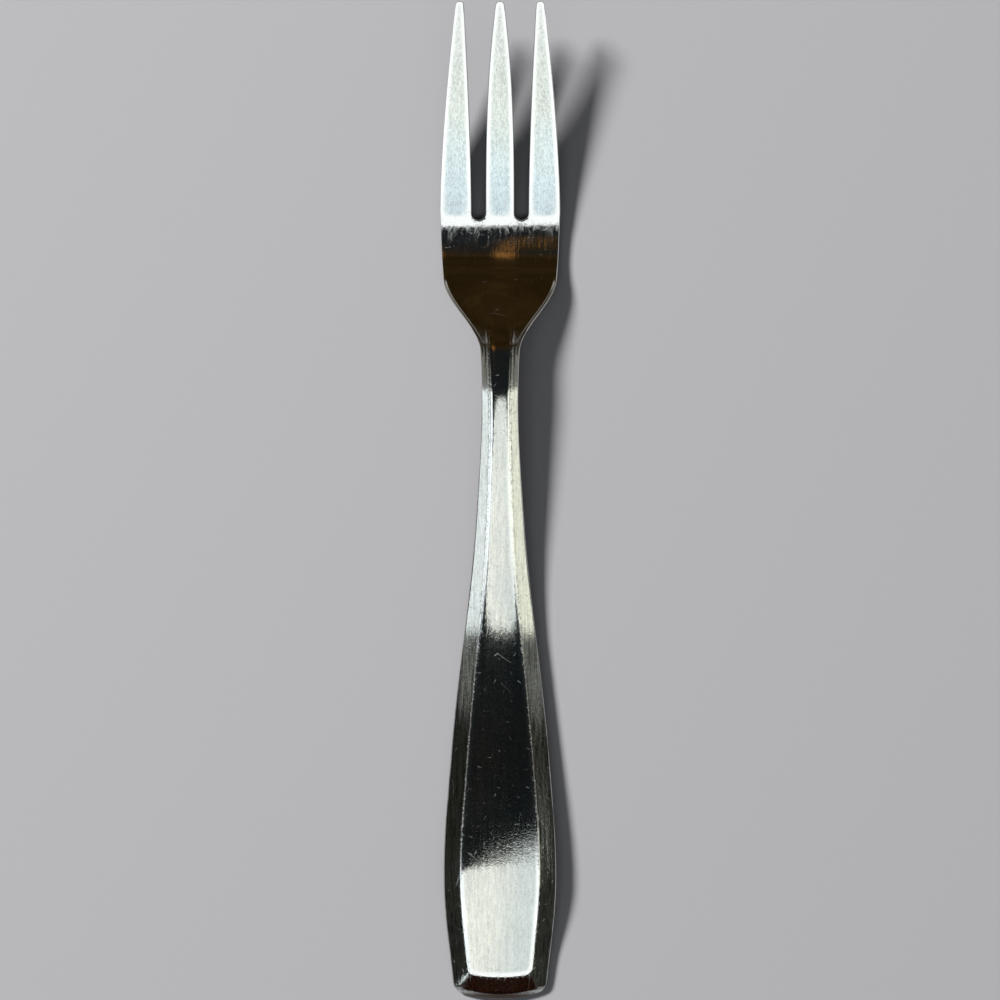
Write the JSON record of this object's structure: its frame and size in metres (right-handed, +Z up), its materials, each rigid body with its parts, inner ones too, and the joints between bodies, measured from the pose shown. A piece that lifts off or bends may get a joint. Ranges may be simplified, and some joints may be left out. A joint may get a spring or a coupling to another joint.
{
  "type": "salad fork",
  "caption": "Polished steel salad fork with tapered tines, a slim ridged neck and a broad handle whose raised panel has a bevelled border, for spearing and lifting food.",
  "frame": {"origin": "on the table, below the middle of the fork's outline, with the fork lying face up", "axes": "+X across the fork, +Y along it from the handle towards the tips, +Z up out of the table"},
  "size_m": [0.0188, 0.156, 0.0095],
  "materials": {
    "steel": "polished, with fine scratches from use"
  },
  "bodies": {
    "root": {"fork": "steel"}
  },
  "joints": []
}
